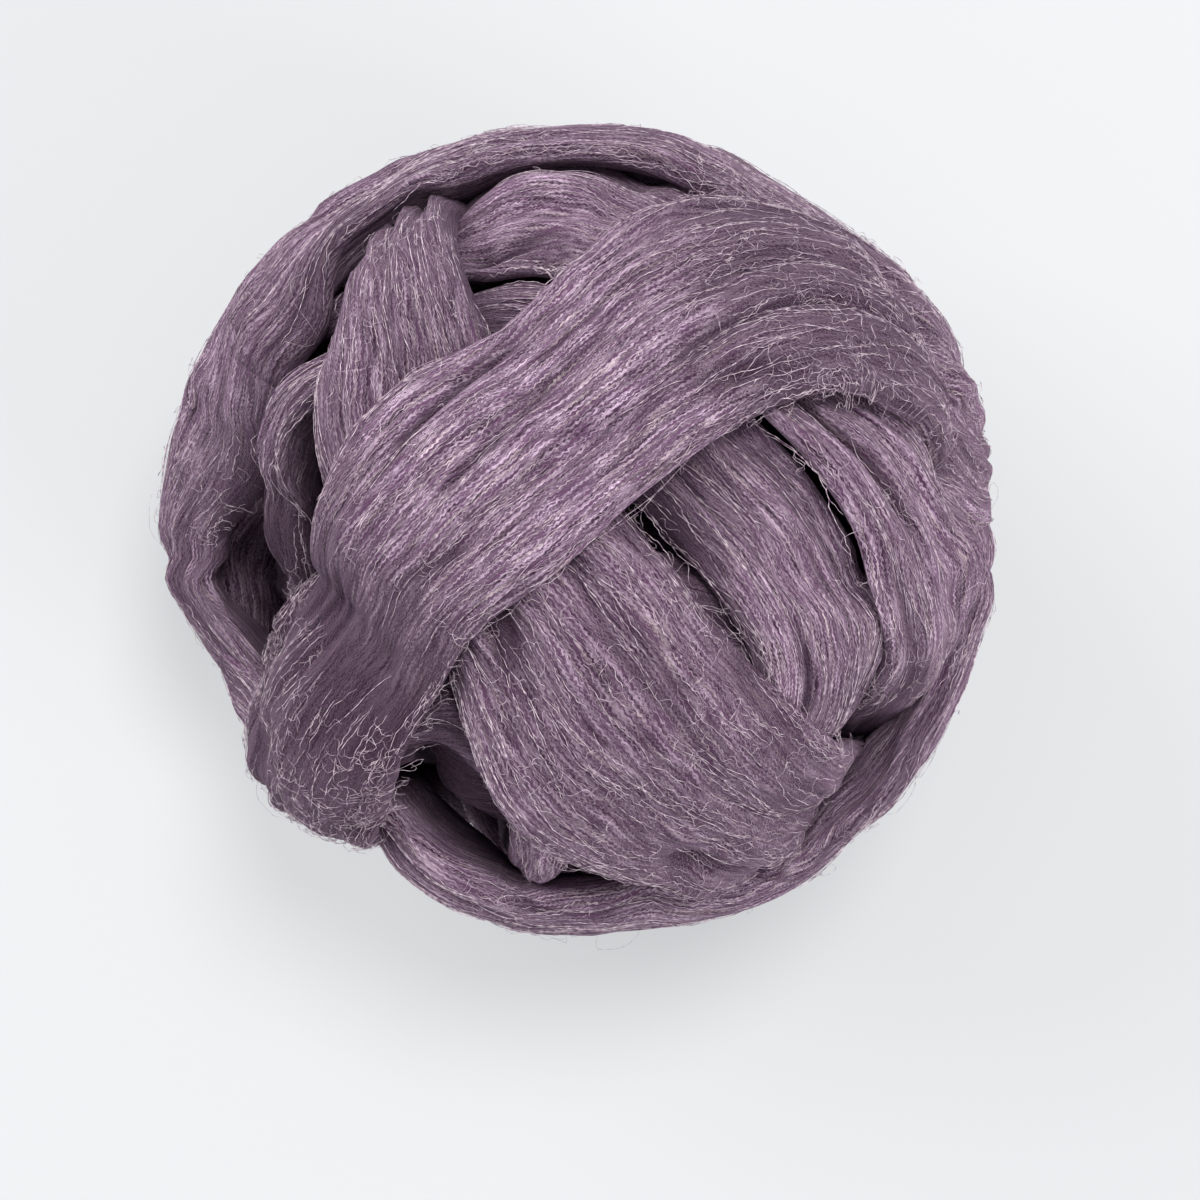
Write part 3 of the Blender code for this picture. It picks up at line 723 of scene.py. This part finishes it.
def fibre_mesh(name, paths, radius):
    """Thin three-sided tubes along the paths, drawn to a point at both ends."""
    count, steps = paths.shape[:2]
    ahead = unit(np.gradient(paths, axis=1))
    side = unit(np.cross(ahead, np.array(ASKEW_AXIS)))
    other = np.cross(ahead, side)
    thick = radius * np.sin(math.pi * np.linspace(TIP_START, TIP_END, steps)) ** TIP_POWER
    corners = []
    for k in range(3):
        angle = 2 * math.pi * k / 3
        outward = side * math.cos(angle) + other * math.sin(angle)
        corners.append(paths + outward * thick[None, :, None])
    points = np.stack(corners, axis=2).reshape(-1, 3)
    index = np.arange(count * steps * 3).reshape(count, steps, 3)
    ends = np.concatenate((index[:, 0, ::-1], index[:, -1]))
    mesh = bpy.data.meshes.new(name)
    mesh.from_pydata(points.tolist(), [], ring_quads(index) + ends.tolist())
    mesh.shade_smooth()
    return mesh


def surface_normals(grid):
    """The outward normal at each point of a grid over the strand."""
    along = np.gradient(grid, axis=0)
    across = np.gradient(grid, axis=1)
    normal = unit(np.cross(across, along))
    outward = np.einsum("ijk,ijk->ij", normal, grid - grid.mean(axis=(0, 1)))
    return normal if outward.mean() > 0 else -normal


class Recipe:
    """The node tree of one material, with a short call for each kind of node it needs."""

    def __init__(self, name):
        self.material = bpy.data.materials.new(name)
        self.material.use_nodes = True
        self.nodes = self.material.node_tree.nodes
        self.links = self.material.node_tree.links
        self.shader = self.nodes["Principled BSDF"]

    def feed(self, socket, value):
        """Links the value to the socket, or sets a plain one."""
        if isinstance(value, bpy.types.NodeSocket):
            self.links.new(value, socket)
        else:
            socket.default_value = value

    def math(self, operation, a, b=0.0, clamp=False):
        node = self.nodes.new("ShaderNodeMath")
        node.operation = operation
        node.use_clamp = clamp
        self.feed(node.inputs[0], a)
        self.feed(node.inputs[1], b)
        return node.outputs[0]

    def noise(self, vector, detail, roughness):
        node = self.nodes.new("ShaderNodeTexNoise")
        node.inputs["Scale"].default_value = 1.0
        node.inputs["Detail"].default_value = detail
        node.inputs["Roughness"].default_value = roughness
        self.links.new(vector, node.inputs["Vector"])
        return node.outputs["Fac"]

    def stretched(self, vector, along, across, start):
        """The strand's own coordinates, scaled so that a bump of the noise has that size."""
        node = self.nodes.new("ShaderNodeMapping")
        node.inputs["Location"].default_value = (start, start, start)
        node.inputs["Scale"].default_value = (1 / along, 1 / across, 1)
        self.links.new(vector, node.inputs["Vector"])
        return node.outputs["Vector"]

    def shifted(self, vector, across):
        """The strand's own coordinates, moved sideways."""
        move = self.nodes.new("ShaderNodeCombineXYZ")
        self.links.new(across, move.inputs["Y"])
        node = self.nodes.new("ShaderNodeVectorMath")
        node.operation = "ADD"
        self.links.new(vector, node.inputs[0])
        self.links.new(move.outputs["Vector"], node.inputs[1])
        return node.outputs["Vector"]

    def field(self, vector, field):
        """That noise over the strand."""
        place = self.stretched(vector, field.long, field.wide, field.start)
        return self.noise(place, field.layers, field.strength)

    def mix(self, share, a, b):
        node = self.nodes.new("ShaderNodeMix")
        node.data_type = "RGBA"
        self.feed(node.inputs["Factor"], share)
        self.feed(node.inputs[6], a)
        self.feed(node.inputs[7], b)
        return node.outputs[2]


def wool_material():
    """Combed wool: fine crimped fibres that run along the strand, pale over a darker mass."""
    wool = Recipe("combed_wool")
    uv = wool.nodes.new("ShaderNodeUVMap")
    uv.uv_map = "strand"
    uv = uv.outputs["UV"]
    split = wool.nodes.new("ShaderNodeSeparateXYZ")
    wool.links.new(uv, split.inputs["Vector"])
    turns = wool.math("MULTIPLY", split.outputs["X"], 2 * math.pi / CRIMP_LENGTH)
    sway = wool.math("MULTIPLY", wool.field(uv, SWAY_FIELD), SWAY)
    swayed = wool.shifted(uv, sway)
    hairs = 0.0
    for line in HAIR_LINES:
        drift = wool.field(uv, Field(CRIMP_STAYS, line.together, line.start, FINE_LAYERS))
        wave = wool.math("SINE", wool.math("ADD", turns, wool.math("MULTIPLY", drift, CRIMP_DRIFT)))
        crimped = wool.shifted(swayed, wool.math("MULTIPLY", wave, line.swing))
        field = Field(line.long, line.apart, line.start, FINE_LAYERS, FINE_STRENGTH)
        hair = wool.math("SUBTRACT", wool.field(crimped, field), line.least)
        hair = wool.math("MULTIPLY", hair, line.contrast, clamp=True)
        hairs = wool.math("MAXIMUM", hairs, wool.math("MULTIPLY", hair, line.pale))
    locks = wool.field(swayed, LOCK_FIELD)
    broad = wool.math("MULTIPLY", wool.field(uv, BROAD_FIELD), BROAD_LIGHT)
    light = wool.math("ADD", wool.math("MULTIPLY", locks, LOCK_LIGHT), broad)
    light = wool.math("SUBTRACT", light, LIGHT_FROM, clamp=True)
    # painted shade in the narrow gaps between fibres, which the bump also lowers
    between = wool.field(crimped, Field(DARK_LINES.long, DARK_LINES.apart, DARK_LINES.start))
    between = wool.math("SUBTRACT", DARK_LINES.most, between)
    between = wool.math("MULTIPLY", between, DARK_LINES.contrast, clamp=True)
    tint = wool.math("SUBTRACT", wool.field(swayed, TINT_FIELD), TINT_FROM)
    tint = wool.math("MULTIPLY", tint, TINT_CONTRAST, clamp=True)
    # the shade painted on the wool for its creases, darker zones and deep gaps
    painted_shade = wool.nodes.new("ShaderNodeAttribute")
    painted_shade.attribute_name = "painted_shade"
    painted_shade = painted_shade.outputs["Fac"]
    colour = wool.mix(light, WOOL_DARK, WOOL_MIDDLE)
    colour = wool.mix(wool.math("MULTIPLY", between, BETWEEN_SHARE), colour, WOOL_SHADED)
    pale = wool.mix(tint, WOOL_PALE, WOOL_CREAM)
    shown = wool.math("ADD", PALE_LEAST, wool.math("MULTIPLY", light, PALE_MORE))
    shown = wool.math("MULTIPLY", hairs, shown)
    colour = wool.mix(shown, colour, pale)
    # painted shade darkens the colour
    colour = wool.mix(painted_shade, colour, WOOL_SHADED)
    wool.feed(wool.shader.inputs["Base Color"], colour)
    bump = wool.nodes.new("ShaderNodeBump")
    bump.inputs["Strength"].default_value = 1.0
    bump.inputs["Distance"].default_value = BUMP_DEPTH
    height = wool.math("ADD", hairs, wool.math("MULTIPLY", locks, LOCK_BUMP))
    height = wool.math("SUBTRACT", height, between)
    wool.feed(bump.inputs["Height"], height)
    wool.feed(wool.shader.inputs["Normal"], bump.outputs["Normal"])
    wool.shader.inputs["Roughness"].default_value = 0.85
    wool.shader.inputs["Specular IOR Level"].default_value = 0.15
    wool.shader.inputs["Sheen Weight"].default_value = 0.4
    wool.shader.inputs["Sheen Roughness"].default_value = 0.5
    wool.shader.inputs["Sheen Tint"].default_value = SHEEN_TINT
    return wool.material


def fibre_material():
    """A single loose fibre, paler than the mass of the wool."""
    fibre = Recipe("loose_fibre")
    place = fibre.nodes.new("ShaderNodeTexCoord").outputs["Object"]
    share = fibre.math("SUBTRACT", fibre.field(place, Field(TONE_SIZE, TONE_SIZE)), TONE_FROM)
    share = fibre.math("MULTIPLY", share, TONE_CONTRAST, clamp=True)
    fibre.feed(fibre.shader.inputs["Base Color"], fibre.mix(share, WOOL_MIDDLE, FIBRE_PALE))
    fibre.shader.inputs["Roughness"].default_value = 0.6
    return fibre.material


def core_piece(winding, material):
    """The first windings, which show deep in the gaps between the later turns."""
    settling, move = winding.settling, winding.move
    rings, spokes = CORE_RINGS, CORE_SPOKES
    level = np.linspace(0, math.pi, rings + 1)[1:-1, None]
    turn = np.linspace(0, 2 * math.pi, spokes, endpoint=False)[None]
    directions = np.stack((np.cos(turn) * np.sin(level), 0 * turn + np.cos(level),
                           np.sin(turn) * np.sin(level)), axis=-1)
    relief, _ = streak_relief(turn * CORE_RADIUS + 0 * level, level * CORE_RADIUS + 0 * turn)
    grid = settling.place(directions, CORE_RADIUS + relief - CORE_SUNK) + move
    grid[..., 2] = np.maximum(grid[..., 2], FLOOR_GAP)
    poles = np.array(((0.0, 1.0, 0.0), (0.0, -1.0, 0.0)))
    poles = settling.place(poles, np.full(2, CORE_RADIUS - CORE_SUNK)) + move
    index = np.arange(grid.shape[0] * spokes).reshape(-1, spokes)
    after = np.roll(index, -1, axis=1)
    north = index.size
    caps = [[north, int(a), int(b)] for a, b in zip(after[0], index[0])]
    caps += [[north + 1, int(a), int(b)] for a, b in zip(index[-1], after[-1])]
    mesh = bpy.data.meshes.new("first_windings")
    points = np.concatenate((grid.reshape(-1, 3), poles))
    mesh.from_pydata(points.tolist(), [], ring_quads(index) + caps)
    uv = mesh.uv_layers.new(name="strand")
    places = []
    for polygon in mesh.polygons:
        for corner in polygon.vertices:
            row, column = divmod(corner, spokes) if corner < north else (0, 0)
            if column == 0 and max(polygon.vertices) % spokes > spokes // 2:
                column = spokes
            places += [column / spokes * 2 * math.pi * CORE_RADIUS, row / rings * math.pi * CORE_RADIUS]
    uv.data.foreach_set("uv", places)
    # the first windings show only deep in the gaps, so all of them carry the painted gap shade
    painted_shade = mesh.attributes.new("painted_shade", "FLOAT", "POINT")
    painted_shade.data.foreach_set("value", [GAP_PAINTED_SHADE] * len(mesh.vertices))
    mesh.shade_smooth()
    return piece("first_windings", mesh, material)


def piece(name, mesh, material):
    """A piece of the ball, which stands for the plain solid."""
    mesh.materials.append(material)
    obj = bpy.data.objects.new(name, mesh)
    bpy.context.scene.collection.objects.link(obj)
    bm = bmesh.new()
    bm.from_mesh(mesh)
    bmesh.ops.recalc_face_normals(bm, faces=bm.faces[:])
    bm.to_mesh(mesh)
    bm.free()
    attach(obj, BODY)
    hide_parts(NODE)
    return obj


def turn_ranges(strand):
    """The first and last station of each turn."""
    names, rows = [], []
    for turn in WINDING:
        for p in turn.passes:
            names.append(turn.name)
            rows.append(direction(p.bearing, p.height))
    current = 0
    owner = []
    for centre in strand.centre:
        while current + 1 < len(rows) and centre @ rows[current + 1] >= centre @ rows[current]:
            current += 1
        owner.append(names[current])
    owner = np.array(owner)
    ranges = {}
    for turn in WINDING:
        found = np.flatnonzero(owner == turn.name)
        ranges[turn.name] = (found[0], min(found[-1] + 2, strand.count))
    return ranges


Winding = namedtuple("Winding", "strand points top support settling move")


def wound_strand():
    """The winding, as in the part's source, and the move that sets it on the floor."""
    strand = Strand(STATION_STEP)
    points, top, support, settling = lay_strand(strand)
    coarse = settling.place(points[::COARSER, ::COARSER], top[::COARSER, ::COARSER])
    return Winding(strand, points, top, support, settling, np.array(onto_floor(coarse)))


def what_shows(winding):
    """1 where the strand's top is near the outside of the ball, 0 where later turns bury it."""
    strand, top = winding.strand, winding.top
    points = winding.points.reshape(-1, 3)
    last = np.full(len(points), strand.count)
    outer = height_over(strand, top, across_points(), points, last, LAID_AT * CORE_RADIUS)
    return (outer.reshape(top.shape) < top + BURIED).astype(float)


def make_ball():
    """The first windings, then each turn and its loose fibres."""
    winding = wound_strand()
    wool = wool_material()
    fibre = fibre_material()
    core_piece(winding, wool)
    shows = what_shows(winding)
    for number, (name, (first, last)) in enumerate(turn_ranges(winding.strand).items()):
        across_by = HIDDEN_BY if name in HIDDEN else ACROSS_BY
        surface = Surface(winding, first, last, across_by)
        piece(name, turn_mesh(name, surface), wool)
        turn_shows = refined_both_ways(shows[first:last, :, None], across_by)[..., 0]
        for kind in FUZZ:
            paths = fibre_paths(surface, turn_shows, kind, 100 * kind.seed + number)
            if len(paths):
                label = name + "_" + kind.name
                piece(label, fibre_mesh(label, paths, kind.radius), fibre)
    return winding


def add_floor():
    """A plain pale floor. It glows a little, as a bright table does in a picture exposed for what
    lies on it."""
    mesh = bpy.data.meshes.new("floor")
    corners = [(x * FLOOR_REACH, y * FLOOR_REACH, 0) for x, y in ((-1, -1), (1, -1), (1, 1), (-1, 1))]
    mesh.from_pydata(corners, [], [(0, 1, 2, 3)])
    floor = Recipe("floor")
    shader = floor.shader
    shader.inputs["Base Color"].default_value = FLOOR_COLOUR
    shader.inputs["Roughness"].default_value = 0.9
    shader.inputs["Specular IOR Level"].default_value = 0.0
    shader.inputs["Emission Color"].default_value = FLOOR_GLOW
    shader.inputs["Emission Strength"].default_value = 1.0
    mesh.materials.append(floor.material)
    obj = bpy.data.objects.new("floor", mesh)
    bpy.context.scene.collection.objects.link(obj)


def add_lamp(lamp):
    """A round lamp that shines on the ball."""
    light = bpy.data.lights.new(lamp.name, "AREA")
    light.shape = "DISK"
    light.size = lamp.size
    light.energy = lamp.power
    obj = bpy.data.objects.new(lamp.name, light)
    obj.location = lamp.place
    towards = Vector(LAMPS_AIM) - Vector(lamp.place)
    obj.rotation_euler = towards.to_track_quat("-Z", "Y").to_euler()
    bpy.context.scene.collection.objects.link(obj)


def set_up_view(move):
    """The camera straight above, the soft sky and the lamps."""
    scene = bpy.context.scene
    camera = bpy.data.cameras.new("camera")
    camera.lens = CAMERA_LENS
    camera.clip_end = VIEW_REACH
    obj = bpy.data.objects.new("camera", camera)
    obj.location = np.array(EYE) + move
    scene.collection.objects.link(obj)
    scene.camera = obj
    world = bpy.data.worlds.new("soft_sky")
    world.use_nodes = True
    background = world.node_tree.nodes["Background"]
    background.inputs["Color"].default_value = SKY_COLOUR
    background.inputs["Strength"].default_value = SKY_STRENGTH
    scene.world = world
    for lamp in LAMPS:
        add_lamp(lamp)
    scene.view_settings.view_transform = "Standard"
    scene.view_settings.look = "None"


winding = make_ball()
add_floor()
set_up_view(winding.move)
